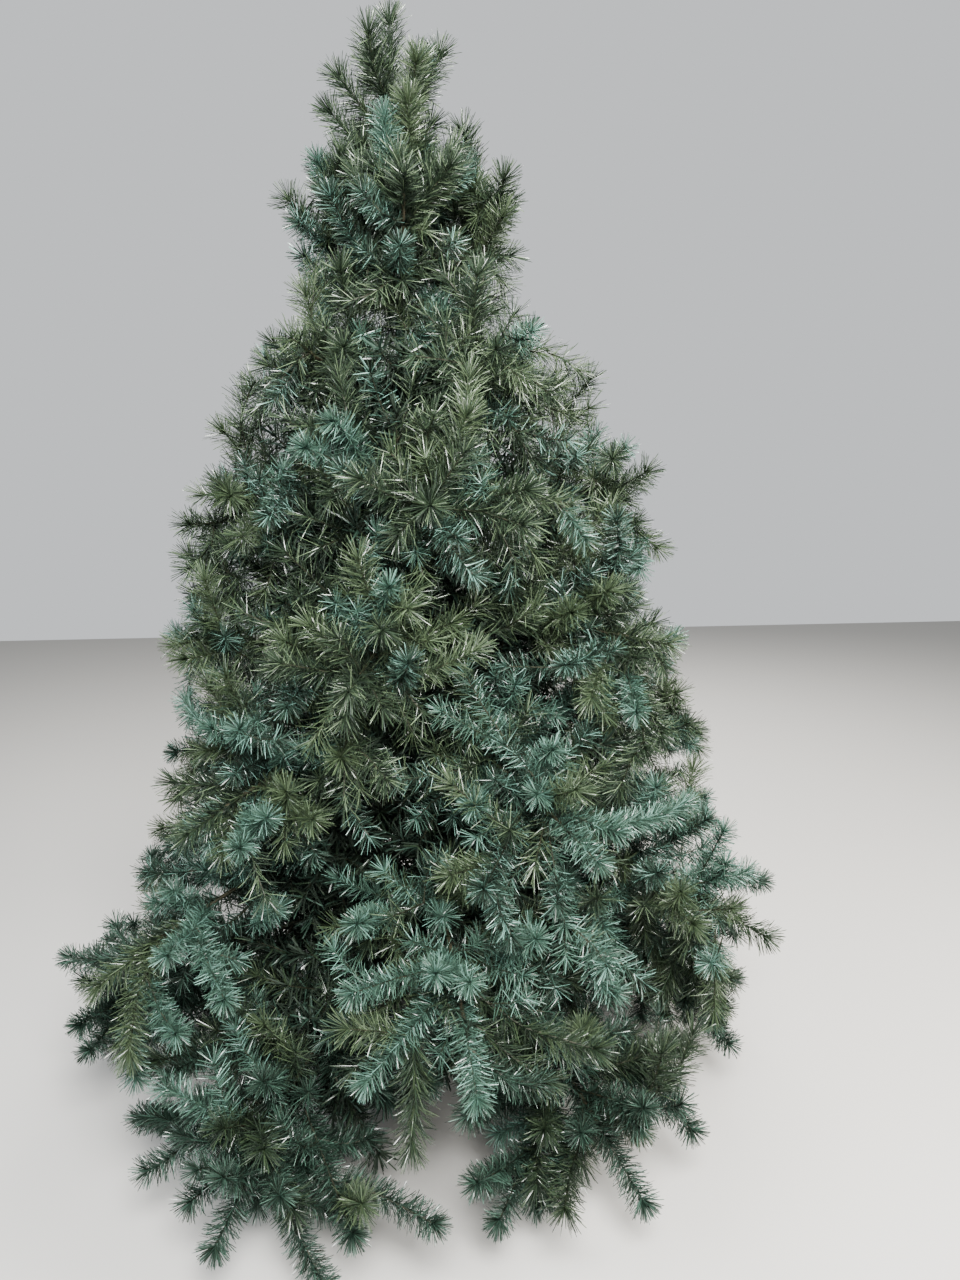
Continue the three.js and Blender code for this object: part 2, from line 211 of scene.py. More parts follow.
# %% Outline
CROWN = np.array([
    # height, radius at the left, radius at the right
    (0.00, 0.660, 0.680),
    (0.12, 0.785, 0.752),
    (0.30, 0.765, 0.760),
    (0.42, 0.690, 0.762),
    (0.56, 0.600, 0.745),
    (0.71, 0.530, 0.640),
    (0.93, 0.500, 0.580),
    (1.09, 0.510, 0.520),
    (1.21, 0.440, 0.520),
    (1.33, 0.410, 0.490),
    (1.45, 0.345, 0.430),
    (1.56, 0.290, 0.300),
    (1.68, 0.235, 0.250),
    (1.85, 0.210, 0.235),
    (1.96, 0.140, 0.180),
    (2.06, 0.090, 0.120),
    (TREE_HEIGHT, 0.050, 0.050),
])


def crown_radius(height, bearing):
    """The crown's radius at a height, on a bearing from the right-hand side."""
    if height >= TREE_HEIGHT:
        return 0.0
    left, right_side = (np.interp(height, CROWN[:, 0], CROWN[:, side]) for side in (1, 2))
    return left + (right_side - left) * (1 + math.cos(bearing)) / 2


print("crown radius at half height:", round(crown_radius(TREE_HEIGHT / 2, 0), 3))

# %% [markdown]
# ## Curves without curve objects
# Each limb is a quadratic Bezier curve: a root, a middle that pulls it, and a tip. A plain
# array of three points is enough, because points and directions along it are short sums. That
# is much quicker than thousands of curve objects, which would have to be turned into meshes.

# %% Bezier lines
UP = np.array((0.0, 0.0, 1.0))
NEARLY_UPRIGHT = 0.95
CHAIN_SHARES = np.linspace(0, 1, 9)


def unit(vectors):
    """Vectors of length one."""
    return vectors / np.linalg.norm(vectors, axis=-1, keepdims=True)


def point_on(line, share):
    """A point of a line at a share of the way, or many points for many shares."""
    share = np.asarray(share, float)[..., None]
    root, middle, tip = line
    return root * (1 - share) ** 2 + middle * 2 * share * (1 - share) + tip * share**2


def direction_on(line, share):
    """The direction of a line there."""
    share = np.asarray(share, float)[..., None]
    root, middle, tip = line
    return unit((middle - root) * (1 - share) + (tip - middle) * share)


def length_of(line):
    """The length of a line, as a chain of short steps."""
    chain = point_on(line, CHAIN_SHARES)
    return np.linalg.norm(np.diff(chain, axis=0), axis=1).sum()


def polar(distance, bearing, height):
    """A point at a distance from the pole's axis, on a bearing, at a height."""
    return np.array((distance * math.cos(bearing), distance * math.sin(bearing), height))


def beside(bearing, way=1):
    """The level direction a quarter turn from a bearing, to one side or the other."""
    return polar(1, bearing + way * math.pi / 2, 0)


def side_and_lift(along):
    """Two directions square to a limb: one level, one up from it."""
    flat = np.where(np.abs(along[..., 2:]) > NEARLY_UPRIGHT, (1.0, 0.0, 0.0), UP)
    side = unit(np.cross(along, flat))
    return side, np.cross(side, along)


def leaving(line, share, turn, roll):
    """The direction of a twig that turns away from a line, rolled round it."""
    along = direction_on(line, share)
    side, lift = side_and_lift(along)
    across = side * math.cos(roll) + lift * math.sin(roll)
    return along * math.cos(turn) + across * math.sin(turn)


print("a level limb's side:", side_and_lift(np.array((1.0, 0.0, 0.0)))[0])

# %% [markdown]
# ## The tiers
# A tree of this kind has hinge collars on its pole, and each collar holds a ring of boughs. The
# table gives each ring its collar, its number of boughs, the height of their tips, their arch,
# a first bearing and the size of their tips. A small seeded generator deals out the unevenness,
# the same one as in the source, so that the boughs here are the boughs of the solids.

# %% Tiers of boughs
TIERS = [
    # collar, boughs, tip, arch, bearing, size
    (0.360, 6, 0.095, 0.110, 4, 1.00),
    (0.570, 6, 0.385, 0.080, 38, 1.00),
    (0.780, 5, 0.665, 0.050, 12, 0.94),
    (0.990, 5, 0.950, 0.020, 48, 0.90),
    (1.190, 4, 1.240, 0.000, 10, 0.86),
    (1.380, 4, 1.525, -0.010, 52, 0.80),
    (1.560, 4, 1.795, -0.020, 8, 0.72),
]
TIERS_WITH_BOUGHS = 2
BEARING_PLAY = 0.1
REACH_PLAY = 0.02
BOUGH_MIDDLE = 0.52
BOUGH_ROOT = 0.010
BARE_BOUGH = 0.2
BARE_STEM = 0.08
TWIG_LIFT = 0.08
PRIME = 2147483647
MULTIPLIER = 48271
SEED_STEP = 7919
SEED_START = 104729


def seeded(seed):
    """Numbers from 0 to 1: each one is the last times a multiplier, modulo a prime."""
    state = (seed * SEED_STEP + SEED_START) % PRIME
    while True:
        state = state * MULTIPLIER % PRIME
        yield state / PRIME


def around(draw, play):
    """A number either side of zero, at most half of play away."""
    return (next(draw) - 0.5) * play


def branches_of(row):
    """The branches of one tier, each with its line and the space that it keeps to."""
    collar, boughs, tip, arch, first, size = TIERS[row]
    draw = seeded(row + 1)
    turn = 360 / boughs
    low = row < TIERS_WITH_BOUGHS
    branches = []
    for i in range(boughs):
        bearing = math.radians(first + i * turn + around(draw, turn * BEARING_PLAY))
        reach = crown_radius(tip, bearing) * (1 - REACH_PLAY * next(draw))
        root = polar(BOUGH_ROOT, bearing, collar)
        middle = polar(reach * BOUGH_MIDDLE, bearing, (collar + tip) / 2 + arch)
        branches.append({
            "tier": row + 1,
            "seed": 100 * (row + 1) + i,
            "line": np.array((root, middle, polar(reach, bearing, tip))),
            "bearing": bearing,
            "reach": reach,
            "sector": math.radians(turn) / 2,
            "size": size,
            "lift": 0 if low else TWIG_LIFT,
            "bare": BARE_BOUGH if low else BARE_STEM,
        })
    return branches


BRANCHES = [branch for row in range(len(TIERS)) for branch in branches_of(row)]
print("branches:", len(BRANCHES))

# %% [markdown]
# ## Twigs that find their own room
# Along each bough the twigs are tried from the tip back, turned round it by a list of angles.
# A twig that would leave the crown, enter the next bough's space or crowd an older twig is
# made shorter, and is left out where nothing fits. This is a rule that a grower could follow,
# and it fills the space evenly without looking laid out.

# %% Twigs of the source
STEM_END = 0.8
TWIGS_TRIED = 30
LAST_TWIG = 0.84
TWIG_MARGIN = 0.06
TWIG_TURN = 46
TURN_PLAY = 22
ROLLS = [0, 180, 80, -5, 185, -80, 100, 180, 0]
ROLL_PLAY = 50
LONGEST_TWIG = 0.290
LENGTH_PLAY = 0.3
SHORTEST_TWIG = 0.115
SHORTER = 0.9
LOWEST_TIP = 0.044
HEADROOM = 0.190
OVERHANG = 0.030
SPACING = 0.076
PROBES = np.array((0.35, 0.65, 0.95))  # the shares of a twig that need room
MOST_POINTS = 20000


class Grown:
    """The points that have grown so far, which new twigs keep clear of."""

    def __init__(self):
        self.points = np.empty((MOST_POINTS, 3))
        self.count = 0

    def add(self, points):
        self.points[self.count : self.count + len(points)] = points
        self.count += len(points)

    def is_clear(self, points, spacing):
        gaps = self.points[None, : self.count] - points[:, None]
        return bool((np.einsum("ijk,ijk->ij", gaps, gaps) > spacing**2).all())


def in_space(branch, point):
    """Whether a point lies in the space that a branch's twigs keep to."""
    bearing = math.atan2(point[1], point[0])
    distance = math.hypot(point[0], point[1])
    if distance > crown_radius(point[2], bearing) or point[2] < LOWEST_TIP:
        return False
    if branch["tier"] > len(TIERS):
        return True
    turn = bearing - branch["bearing"]
    aside = abs(math.atan2(math.sin(turn), math.cos(turn))) - branch["sector"]
    stem = point_on(branch["line"], min(1, distance / branch["reach"]))
    return distance * math.sin(aside) < OVERHANG and abs(point[2] - stem[2]) < HEADROOM


def side_twig(branch, k, draw):
    """Where a twig leaves its stem, in what direction, and its length at most."""
    share = LAST_TWIG + (branch["bare"] + TWIG_MARGIN - LAST_TWIG) * k / TWIGS_TRIED
    turn = math.radians(TWIG_TURN + around(draw, TURN_PLAY))
    roll = math.radians(ROLLS[k % len(ROLLS)] + around(draw, ROLL_PLAY))
    longest = LONGEST_TWIG * branch["size"] * (1 + around(draw, LENGTH_PLAY))
    return share, leaving(branch["line"], share, turn, roll), longest


def twigs_of(branch, tried, propose, grown):
    """The lines of a branch's twigs, shortened until they fit."""
    draw = seeded(branch["seed"])
    lines = []
    grown.add(point_on(branch["line"], STEM_END + (1 - STEM_END) * PROBES))
    for k in range(tried):
        share, direction, length = propose(branch, k, draw)
        root = point_on(branch["line"], share)
        while length > SHORTEST_TWIG * branch["size"]:
            tip = root + direction * length + UP * length * branch["lift"]
            line = np.array((root, root + direction * length / 2, tip))
            probes = point_on(line, PROBES)
            if in_space(branch, tip) and grown.is_clear(probes, SPACING * branch["size"]):
                lines.append(line)
                grown.add(probes)
                break
            length *= SHORTER
    return lines


grown = Grown()
for branch in BRANCHES:
    branch["twigs"] = twigs_of(branch, TWIGS_TRIED, side_twig, grown)
print("twigs on the boughs:", sum(len(branch["twigs"]) for branch in BRANCHES))

# %% [markdown]
# ## The leader
# The top is one rod. Its twigs sweep up round it, and each is turned by the golden angle from
# the one before, which is how real shoots share the light.

# %% The leader and its twigs
LEADER_FOOT = 1.7303
LEADER_SEED = 900
LEADER_TWIGS = 34
LEADER_SIZE = 0.66
LEADER_LIFT = 0.34
LEADER_RISE = (50, 20)
LEADER_SHARES = (0.55, 0.04)
LEADER_LENGTHS = (0.150, 0.235)
LEADER_BEARING = 120
GOLDEN_TURN = 137.5


def between(pair, share):
    """A value part of the way from the first of a pair to the second."""
    return pair[0] + (pair[1] - pair[0]) * share


def leader_twig(branch, k, draw):
    """A twig of the leader, round the rod and upwards."""
    done = k / LEADER_TWIGS
    bearing = math.radians(LEADER_BEARING + k * GOLDEN_TURN + around(draw, TURN_PLAY))
    rise = math.radians(between(LEADER_RISE, done) + around(draw, TURN_PLAY / 2))
    direction = polar(math.cos(rise), bearing, math.sin(rise))
    return between(LEADER_SHARES, done), direction, between(LEADER_LENGTHS, done)


rod = np.array([polar(0, 0, height) for height in np.linspace(LEADER_FOOT, TREE_HEIGHT, 3)])
leader = {
    "tier": len(TIERS) + 1,
    "seed": LEADER_SEED,
    "line": rod,
    "size": LEADER_SIZE,
    "lift": LEADER_LIFT,
}
leader["twigs"] = twigs_of(leader, LEADER_TWIGS, leader_twig, grown)
print("twigs on the leader:", len(leader["twigs"]))

# %% [markdown]
# ## From twigs to tips
# The solids stop at one spray for each twig. On the real tree each of these twigs is a tip with
# two or three more tips wired to its sides, and the end of a bough is a fan of them. They are
# grown here by the same kind of rule: a few directions are tried, and a side tip is kept where
# it has room. Many more are tried straight off the boughs, which closes the inside of the
# crown, and the upper tiers, which have fewer boughs, get a late round that fills their gaps.
# A twig sags and sways a little, as wire does when hands have spread it. The side tips stay
# further inside the outline than the twigs, whose ends therefore stand out of it one by one.

# %% Side tips
rng = np.random.default_rng(1225)
SIDE_TIPS_TRIED = 14  # on each twig of a bough
LEADER_TIPS_TRIED = 2  # on each twig of the leader
INNER_TIPS_TRIED = 160  # on each bough
LATE_TIPS_TRIED = {"low": 0, "middle": 3, "high": 6}
SIDE_SHARES = (0.12, 0.72)  # of the twig's length
INNER_SHARES = (0.06, STEM_END)
SIDE_TURN = (32, 58)
INNER_TURN = (50, 85)
SIDE_LENGTHS = (0.11, 0.18)
SIDE_SPACING = 0.045
SIDE_MIDDLE = 0.65
TIP_LIFT = (-0.18, 0.30)  # this and the next three are shares of a tip's length
TIP_PLAY = 0.14
TWIG_SWAY = 0.10
TWIG_SAG = (0.00, 0.16)
END_START = 0.68  # the last part of a bough is a tip itself, and nearly the whole leader
LEADER_START = 0.2
CROWN_MARGIN = 0.050
MIDDLE_TIERS = 4


def swayed(line):
    """A line whose middle is moved down and a little to a side, so that its end turns up."""
    length = length_of(line)
    moved = line.copy()
    moved[1] += rng.normal(0, TWIG_SWAY * length, 3) - UP * rng.uniform(*TWIG_SAG) * length
    moved[1][2] = max(moved[1][2], LOWEST_TIP)
    return moved


def keeps_in_crown(points):
    """Whether points stay over the floor and inside the crown's outline."""
    for x, y, z in points:
        if z < LOWEST_TIP or math.hypot(x, y) > crown_radius(z, math.atan2(y, x)) - CROWN_MARGIN:
            return False
    return True


def side_tips(line, size, tried, shares, turns):
    """Shorter tips that leave a line to its sides, where they find room."""
    found = []
    for _ in range(tried):
        share = rng.uniform(*shares)
        turn = math.radians(rng.uniform(*turns))
        roll = rng.uniform(0, 2 * math.pi)
        length = rng.uniform(*SIDE_LENGTHS) * size
        curl = rng.uniform(*TIP_LIFT)
        direction = leaving(line, share, turn, roll)
        root = point_on(line, share)
        tip = root + direction * length + UP * length * curl + rng.normal(0, TIP_PLAY * length, 3)
        new = np.array((root, root + direction * length * SIDE_MIDDLE, tip))
        probes = point_on(new, PROBES[1:])
        if keeps_in_crown(probes) and grown.is_clear(probes, SIDE_SPACING * size):
            found.append(new)
            grown.add(probes)
    return found


def zone_of(branch):
    """The part of the crown that a branch belongs to."""
    if branch["tier"] <= TIERS_WITH_BOUGHS:
        return "low"
    return "middle" if branch["tier"] <= MIDDLE_TIERS else "high"


def own_tips(branch):
    """The end of a branch as a tip, and its twigs."""
    stem = branch["line"]
    start = LEADER_START if branch is leader else END_START
    end = np.array((point_on(stem, start), point_on(stem, (1 + start) / 2), stem[2]))
    return [end] + [swayed(line) for line in branch["twigs"]]


def add_tips(branch, lines):
    """Notes tips with the branch that bears them."""
    tips.extend({"line": line, "branch": branch, "zone": zone_of(branch)} for line in lines)


tips = []
for branch in BRANCHES + [leader]:
    add_tips(branch, own_tips(branch))
for tip in list(tips):
    branch = tip["branch"]
    tried = LEADER_TIPS_TRIED if branch is leader else SIDE_TIPS_TRIED
    add_tips(branch, side_tips(tip["line"], branch["size"], tried, SIDE_SHARES, SIDE_TURN))
for branch in BRANCHES:
    size = branch["size"]
    add_tips(branch, side_tips(branch["line"], size, INNER_TIPS_TRIED, INNER_SHARES, INNER_TURN))
for tip in [tip for tip in tips if tip["branch"] is not leader]:
    branch, tried = tip["branch"], LATE_TIPS_TRIED[tip["zone"]]
    add_tips(branch, side_tips(tip["line"], branch["size"], tried, SIDE_SHARES, SIDE_TURN))
print("tips:", len(tips), "wire:", round(sum(length_of(t["line"]) for t in tips), 1), "m")

# %% [markdown]
# ## Two kinds of tip
# The tree mixes two kinds. One is olive, with long and rather sparse needles. The other is
# blue-green, shorter and denser, and its tips often curl at the end. Both are strips of film
# held in a twisted wire: they stand round it, lean towards its end, and close over it. Each
# kind has a few plain tones, dealt out tip by tip. Some needles of each tip have a lighter tone,
# because the film is cut from sheets of more than one colour; on the blue-green kind it is also
# a painted glint. Others have a darker tone, which is painted shade between the needles. The
# tips inside the crown are a third kind here: sparse, broad and dark with painted shade, they
# stand for all that is seen between the outer ones. Olive tips are many in the upper crown and
# few near the floor. Near the floor nearly all tips are of the darker tones, and towards the top
# more and more of them: this is painted shade, where less light falls.

# %% Kinds and tones
TONES = {
    "olive": (0.064, 0.090, 0.050),
    "moss": (0.036, 0.056, 0.034),
    "straw": (0.112, 0.152, 0.092),
    "teal": (0.070, 0.126, 0.096),
    "spruce": (0.036, 0.064, 0.048),
    # The next tone is the lighter film of the blue-green tips and partly a painted glint, a cyan
    # highlight in its colour.
    "frost": (0.145, 0.255, 0.215),
    # The darkest tone is painted shade, for the crown's inside and between the needles.
    "shade": (0.022, 0.032, 0.023),
}
KIND_KEYS = ("needle", "lean", "spread", "density", "accents", "tones")
# The second accent, less light, is for dark tips near the floor, as part of the painted shade
# there. The tones are a main one and a darker one, for a light tip and for a dark tip; the
# darker one is painted shade between the needles.
KIND_ROWS = {
    "long": (0.041, 52, 12, 1.0, ("straw", "olive"), (("olive", "moss"), ("moss", "shade"))),
    "short": (0.032, 64, 12, 1.4, ("frost", "teal"), (("teal", "spruce"), ("spruce", "shade"))),
    "inner": (0.040, 62, 16, 0.46, ("spruce", "spruce"), (("shade", "moss"), ("shade", "spruce"))),
}
KINDS = {name: dict(zip(KIND_KEYS, row)) for name, row in KIND_ROWS.items()}
ACCENT_SHARE = 0.18  # of a tip's needles have its lighter tone
# The darker tone is painted shade between the needles of a tip.
PAINTED_SHADE_SHARE = 0.26  # and these its darker one
LONG_HEIGHTS = (0.0, 0.7, 1.2, 2.1)
LONG_SHARES = (0.25, 0.45, 0.82, 0.90)  # of the outer tips at these heights are long ones
# Near the floor and towards the top the dark tones are painted shade, where less light falls; in
# between, a dark tip is a darker tone at random.
DARK_HEIGHTS = (0.0, 0.3, 0.5, 2.1)
DARK_SHARES = (1.0, 0.92, 0.28, 0.90)  # of all tips at these heights are dark ones
INNER_DEPTHS = (0.465, 0.682)  # of the crown's radius: further in than this, a tip is inner
INNER_TOP = 1.50  # above this the crown has no inside
# Below this height the dark tips have the less light accent, as painted shade near the floor.
FLOOR_SHADE_TOP = 0.45  # below this a dark tip has the second accent
TONED_AT = 0.6  # the share of a tip whose place decides its kind and tone
HOOKED_SHARE = 0.6  # of the short kind curl at the end
HOOK_ASIDE = (0.15, 0.45)
HOOK_BACK = (0.05, 0.25)
HOOK_RISE = (-0.2, 0.5)
BELOW_TOP = 0.02


def depth_in_crown(point):
    """How far out a point is: 0 at the pole, 1 at the crown's outline."""
    height = min(point[2], TREE_HEIGHT - BELOW_TOP)
    radius = crown_radius(height, math.atan2(point[1], point[0]))
    return math.hypot(point[0], point[1]) / radius


def hooked(line):
    """A line whose end curls to a side and a little back, if that keeps it in the crown."""
    length = length_of(line)
    bearing = rng.uniform(0, 2 * math.pi)
    curl = unit(polar(1, bearing, rng.uniform(*HOOK_RISE))) * rng.uniform(*HOOK_ASIDE)
    back = unit(line[2] - line[0]) * rng.uniform(*HOOK_BACK)
    end = line[2] + (curl - back) * length
    return np.array((line[0], line[1], end)) if keeps_in_crown([end]) else line


for tip in tips:
    place = point_on(tip["line"], TONED_AT)
    # A tip deep in the crown is an inner one, whose dark tones are painted shade.
    is_inner = depth_in_crown(place) < rng.uniform(*INNER_DEPTHS) and place[2] < INNER_TOP
    is_long = rng.random() < np.interp(place[2], LONG_HEIGHTS, LONG_SHARES)
    tip["kind"] = KINDS["inner" if is_inner else "long" if is_long else "short"]
    # A dark tip's tones are painted shade near the floor and towards the top.
    is_dark = rng.random() < np.interp(place[2], DARK_HEIGHTS, DARK_SHARES)
    tip["tones"] = tip["kind"]["tones"][int(is_dark)]
    # Near the floor a dark tip's accent is the less light one, as part of the painted shade there.
    tip["accent"] = tip["kind"]["accents"][int(is_dark and place[2] < FLOOR_SHADE_TOP)]
    if tip["kind"] is KINDS["short"] and rng.random() < HOOKED_SHARE:
        tip["line"] = hooked(tip["line"])
print("tips of each kind:", [sum(t["kind"] is kind for t in tips) for kind in KINDS.values()])

# %% [markdown]
# ## One needle
# A needle is a narrow strip of film, cut off a little aslant. Two triangles are enough for it,
# and as its far end is twisted against its near one, light runs along it as on real film. All
# needles of a tip are made at once: where each starts on the wire, which way it leans, how long
# it is and how it is twisted are columns of random numbers from the seeded generator.

# %% Needles along a wire
NEEDLE_WIDTH = 0.0015
END_WIDTH = 0.75  # of the width at the wire
CUT_ASLANT = 0.93  # the shorter edge of a needle, as a share of the longer one
TWIST = (0.3, 1.0)
LENGTH_SPREAD = 0.09
LENGTH_LIMITS = (0.75, 1.15)
GOLDEN = math.radians(GOLDEN_TURN)
GOLDEN_PLAY = 0.9
CAP_SHARE = 0.13  # of a tip's needles stand round the end of its wire and close it
LOWEST_NEEDLE = 0.001
OFF_AXIS = 0.01  # gives a needle that runs along the wire a side of its own


def needles_along(line, start, end, count, kind, length, width, has_cap=True):
    """The corners of needles round a stretch of wire: an array of count by 4 by 3."""
    capped = round(count * CAP_SHARE) if has_cap else 0
    place = np.minimum((np.arange(count) + rng.random(count)) / max(1, count - capped), 1)
    in_cap = np.arange(count) >= count - capped
    share = start + (end - start) * place
    root = point_on(line, share)
    along = direction_on(line, share)
    side, lift = side_and_lift(along)
    roll = np.arange(count) * GOLDEN + rng.uniform(-GOLDEN_PLAY, GOLDEN_PLAY, count)
    outward = side * np.cos(roll)[:, None] + lift * np.sin(roll)[:, None]
    lean = kind["lean"] + rng.normal(0, kind["spread"], count)
    angle = np.radians(np.where(in_cap, lean * np.sqrt(rng.random(count)), lean))
    direction = along * np.cos(angle)[:, None] + outward * np.sin(angle)[:, None]
    lengths = length * np.clip(rng.normal(1, LENGTH_SPREAD, count), *LENGTH_LIMITS)
    reach = direction * lengths[:, None]
    twist = rng.uniform(0, math.pi, count)[:, None]
    first = unit(np.cross(direction, along + OFF_AXIS * side))
    second = np.cross(direction, first)
    near = (first * np.cos(twist) + second * np.sin(twist)) * width / 2
    twist = twist + rng.uniform(*TWIST, count)[:, None]
    far = (first * np.cos(twist) + second * np.sin(twist)) * width * END_WIDTH / 2
    corners = (root - near, root + near, root + reach + far, root + reach * CUT_ASLANT - far)
    made = np.stack(corners, axis=1)
    made[..., 2] = np.maximum(made[..., 2], LOWEST_NEEDLE)
    return made


sample = needles_along(rod, 0, 1, 1, KINDS["long"], KINDS["long"]["needle"], NEEDLE_WIDTH)
print("a needle has", sample.shape[1], "corners")

# %% [markdown]
# ## Nearly half a million needles
# The count is fixed first, and each tip gets its share by its length and its kind, so the tree
# stays within what a computer can show. A tip that stands free against the room gets two or
# three times as many as one among others, because there each gap would show. A long twig is a
# brush only in its outer part: further in it has the same thin garland of needles as the
# boughs, in the darkest tone, which is painted shade and closes the view into the crown. There
# the needles are fewer and broader, since nobody sees them singly. The needles of one tone in
# one part of the crown become one mesh.

# %% Deal out the needles
NEEDLES = 475000
END_ROOM = 0.9  # of a needle's length, from the wire's end to the line's end
LONGEST_BRUSH = 0.23
FIRST_NEEDLES = 0.08
GARLAND_DENSITY = 0.4
GARLAND_END = 0.85
INNER_WIDTHS = (0.0050, 0.0020)  # at the pole and at the outline
FREE_TOP = 1.78
FREE_FLOOR = 0.30
FREE_DEPTH = 0.86
TOP_FULLNESS = 3.0
FLOOR_FULLNESS = 2.7
FREE_FULLNESS = 2.1
heaps = {}


def heap(zone, tone, corners):
    """Puts needles with the others of their tone and part of the crown."""
    heaps.setdefault((zone, tone), []).append(corners)


def fullness_of(end):
    """More needles for a tip that stands free: at the top, near the floor or at the outline."""
    if end[2] > FREE_TOP:
        return TOP_FULLNESS
    if end[2] < FREE_FLOOR:
        return FLOOR_FULLNESS
    return FREE_FULLNESS if depth_in_crown(end) > FREE_DEPTH else 1


brushes = []
garlands = [(b["line"], b["bare"], GARLAND_END, zone_of(b)) for b in BRANCHES]
for tip in tips:
    whole = length_of(tip["line"])
    needle = tip["kind"]["needle"]
    end = 1 - END_ROOM * needle / whole
    start = max(FIRST_NEEDLES, end - LONGEST_BRUSH / whole)
    weight = (end - start) * whole * tip["kind"]["density"] * fullness_of(tip["line"][2])
    brushes.append((tip, start, end, needle, weight))
    if start > FIRST_NEEDLES:
        garlands.append((tip["line"], 0, start, tip["zone"]))

garland_weights = [(g[2] - g[1]) * length_of(g[0]) * GARLAND_DENSITY for g in garlands]
per_weight = NEEDLES / (sum(brush[-1] for brush in brushes) + sum(garland_weights))

for tip, start, end, needle, weight in brushes:
    kind = tip["kind"]
    count = round(weight * per_weight)
    depth = depth_in_crown(point_on(tip["line"], 0.5))
    width = between(INNER_WIDTHS, depth) if kind is KINDS["inner"] else NEEDLE_WIDTH
    corners = needles_along(tip["line"], start, end, count, kind, needle, width)
    dealt = rng.random(count)
    # The second tone of a tip is painted shade between its needles; the lighter accent is partly a
    # painted glint on the blue-green kind.
    is_accent, is_painted_shade = dealt < ACCENT_SHARE, dealt > 1 - PAINTED_SHADE_SHARE
    main, under = tip["tones"]
    heap(tip["zone"], main, corners[~is_accent & ~is_painted_shade])
    heap(tip["zone"], under, corners[is_painted_shade])
    heap(tip["zone"], tip["accent"], corners[is_accent])

inner = KINDS["inner"]
for (line, start, end, zone), weight in zip(garlands, garland_weights):
    count = round(weight * per_weight)
    width = between(INNER_WIDTHS, depth_in_crown(point_on(line, (start + end) / 2)))
    corners = needles_along(line, start, end, count, inner, inner["needle"], width, False)
    # The garland has the darkest tone: painted shade inside the crown.
    heap(zone, "shade", corners)
print("needles:", sum(len(c) for heaped in heaps.values() for c in heaped))
print("needles to a metre of long tip:", round(per_weight))

# %% [markdown]
# ## The film's finish
# Plastic film is smooth and a little glossy, so a bright room leaves a soft silver sheen on it.
# A needle that is a millimetre and a half wide needs no pattern: the variety comes from the
# tones and from how each needle is turned. So each tone is one Principled surface with plain
# values, and these survive any export. The darkest tone is painted shade, and it is duller, as
# inside the crown nothing bright is left to reflect.

# %% Needle pieces
FILM_GLOSS = (0.3, 0.65)  # roughness and specular level
SHADE_GLOSS = (0.7, 0.2)
ZONE_NODES = {
    "low": nodes_named("foliage_tier1", "foliage_tier2"),
    "middle": nodes_named("foliage_tier3", "foliage_tier4"),
    "high": nodes_named("foliage_tier5", "foliage_tier6", "foliage_tier7", "foliage_top"),
}

films = {
    tone: plain_material(f"film_{tone}", color, *(SHADE_GLOSS if tone == "shade" else FILM_GLOSS))
    for tone, color in TONES.items()
}
STRIP = np.array(((0, 1, 2), (0, 2, 3)))
for (zone, tone), heaped in sorted(heaps.items()):
    corners = np.concatenate(heaped)
    faces = (np.arange(len(corners))[:, None, None] * 4 + STRIP).reshape(-1, 3)
    name = f"needles_{zone}_{tone}"
    make_piece(name, corners.reshape(-1, 3), faces, films[tone], "needles", ZONE_NODES[zone])
    print(name, len(faces), "triangles")

# %% [markdown]
# ## Skins over rings
# All of the tree that isn't needles is rows of rings with a skin over them. One function makes
# the skin, and others place the rings: round a bent line, or round the vertical axis. A wrapped
# bough gets its relief from a radius that rises and falls in a spiral as it goes along.

# %% Rings and skins
SHARP_ANGLE = math.radians(40)


def skin(rings, is_loop=False):
    """Points and triangles over rings: closed at both ends, or round from last to first."""
    steps, sides = rings.shape[:2]
    index = np.arange(steps * sides).reshape(steps, sides)
    nearer = index if is_loop else index[:-1]
    further = np.roll(index, -1, axis=0) if is_loop else index[1:]
    a, b = nearer, np.roll(nearer, -1, axis=1)
    c, d = np.roll(further, -1, axis=1), further
    faces = [np.stack((a, b, c), -1).reshape(-1, 3), np.stack((a, c, d), -1).reshape(-1, 3)]
    points = rings.reshape(-1, 3)
    if not is_loop:
        foot = np.full(sides, len(points))
        faces.append(np.stack((foot, b[0], a[0]), -1))
        faces.append(np.stack((foot + 1, d[-1], c[-1]), -1))
        points = np.concatenate((points, rings[:1].mean(1), rings[-1:].mean(1)))
    return points, np.concatenate(faces)


def tube(chain, radii, sides, side=None, ridge=0.0, pitch=1.0):
    """A tube round a chain of points, with spiral ridges if ridge isn't zero."""
    along = unit(np.gradient(chain, axis=0))
    level = side_and_lift(along)[0] if side is None else np.broadcast_to(side, along.shape)
    lift = np.cross(level, along)
    run = np.concatenate(([0], np.cumsum(np.linalg.norm(np.diff(chain, axis=0), axis=1))))
    angle = np.arange(sides) * 2 * math.pi / sides
    wave = np.cos(angle[None] - run[:, None] * 2 * math.pi / pitch)
    radius = np.asarray(radii)[:, None] * (1 + ridge * wave)
    rings = chain[:, None] + radius[..., None] * (
        level[:, None] * np.cos(angle)[None, :, None] - lift[:, None] * np.sin(angle)[None, :, None]
    )
    return skin(rings)


def turned(profile, sides, is_loop=False, lobes=0, depth=0.0):
    """A form turned round the vertical axis from pairs of radius and height, perhaps lobed."""
    profile = np.array(profile)
    angle = np.arange(sides) * 2 * math.pi / sides
    radius = profile[:, :1] * (1 + depth * np.cos(lobes * angle)[None])
    height = np.broadcast_to(profile[:, 1:], radius.shape)
    return skin(np.stack((radius * np.cos(angle), radius * np.sin(angle), height), -1), is_loop)


